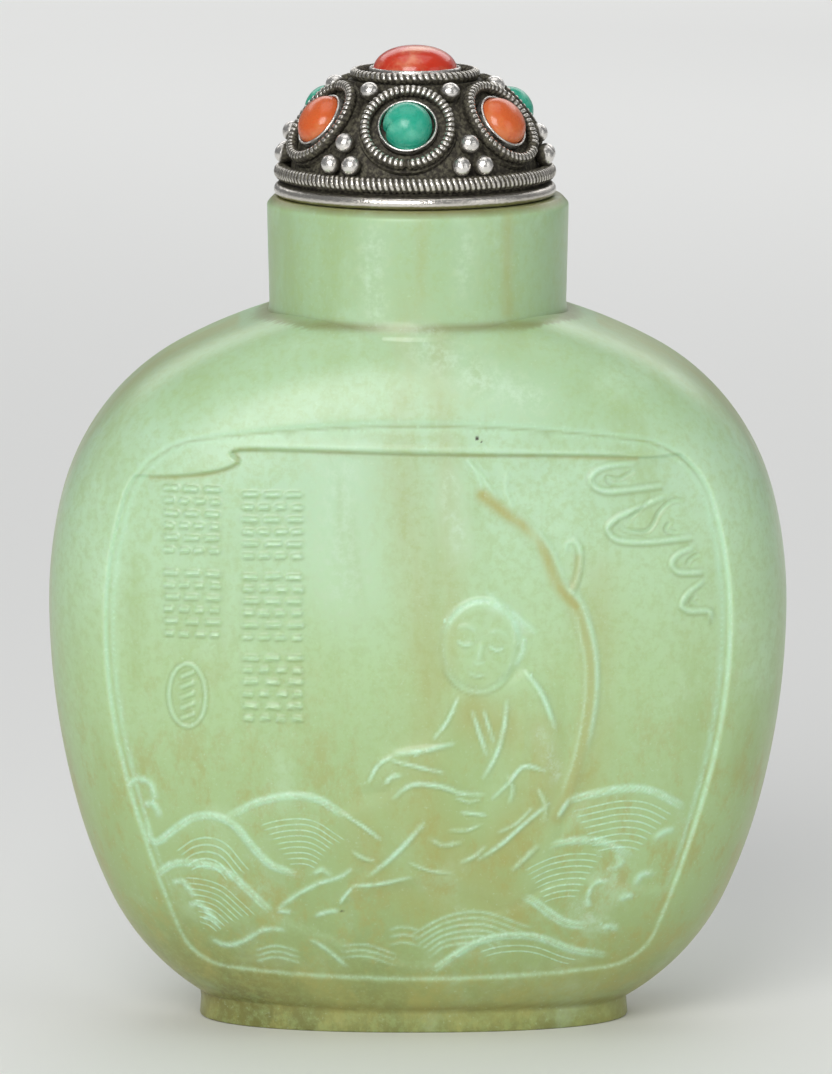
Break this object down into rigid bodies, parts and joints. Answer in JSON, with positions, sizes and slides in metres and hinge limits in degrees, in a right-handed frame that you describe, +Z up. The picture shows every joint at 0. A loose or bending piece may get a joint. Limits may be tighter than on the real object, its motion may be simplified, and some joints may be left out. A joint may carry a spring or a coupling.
{
  "type": "snuff bottle",
  "caption": "Flattened hollow jade bottle on an oval foot, with a low relief panel on its face and a loose domed silver stopper set with coral and turquoise.",
  "frame": {"origin": "under the middle of the body, at the level of the foot's underside", "axes": "Z runs up the bottle's axis through the neck, Y is the thin way with the carved front towards -Y, and X is the broad way"},
  "size_m": [0.0522, 0.0274, 0.0694],
  "materials": {
    "jade": "polished, translucent pale green to olive",
    "aged_silver": "aged silver, dark in the recesses",
    "bright_silver": "worn bright silver",
    "turquoise": "polished cabochon",
    "coral": "polished cabochon",
    "red_coral": "polished mottled cabochon"
  },
  "bodies": {
    "root": {"bottle": "jade", "stopper_cap": "aged_silver", "base_wire": "aged_silver", "top_wire": "aged_silver", "top_bezel": "bright_silver", "top_coral": "red_coral", "side_wire_1": "aged_silver", "side_bezel_1": "bright_silver", "side_stone_1": "turquoise", "granule_1_1": "bright_silver", "granule_1_2": "bright_silver", "granule_1_3": "bright_silver", "granule_1_4": "bright_silver", "side_wire_2": "aged_silver", "side_bezel_2": "bright_silver", "side_stone_2": "coral", "granule_2_1": "bright_silver", "granule_2_2": "bright_silver", "granule_2_3": "bright_silver", "granule_2_4": "bright_silver", "side_wire_3": "aged_silver", "side_bezel_3": "bright_silver", "side_stone_3": "turquoise", "granule_3_1": "bright_silver", "granule_3_2": "bright_silver", "granule_3_3": "bright_silver", "granule_3_4": "bright_silver", "side_wire_4": "aged_silver", "side_bezel_4": "bright_silver", "side_stone_4": "coral", "granule_4_1": "bright_silver", "granule_4_2": "bright_silver", "granule_4_3": "bright_silver", "granule_4_4": "bright_silver", "side_wire_5": "aged_silver", "side_bezel_5": "bright_silver", "side_stone_5": "turquoise", "granule_5_1": "bright_silver", "granule_5_2": "bright_silver", "granule_5_3": "bright_silver", "granule_5_4": "bright_silver", "side_wire_6": "aged_silver", "side_bezel_6": "bright_silver", "side_stone_6": "coral", "granule_6_1": "bright_silver", "granule_6_2": "bright_silver", "granule_6_3": "bright_silver", "granule_6_4": "bright_silver"}
  },
  "joints": []
}
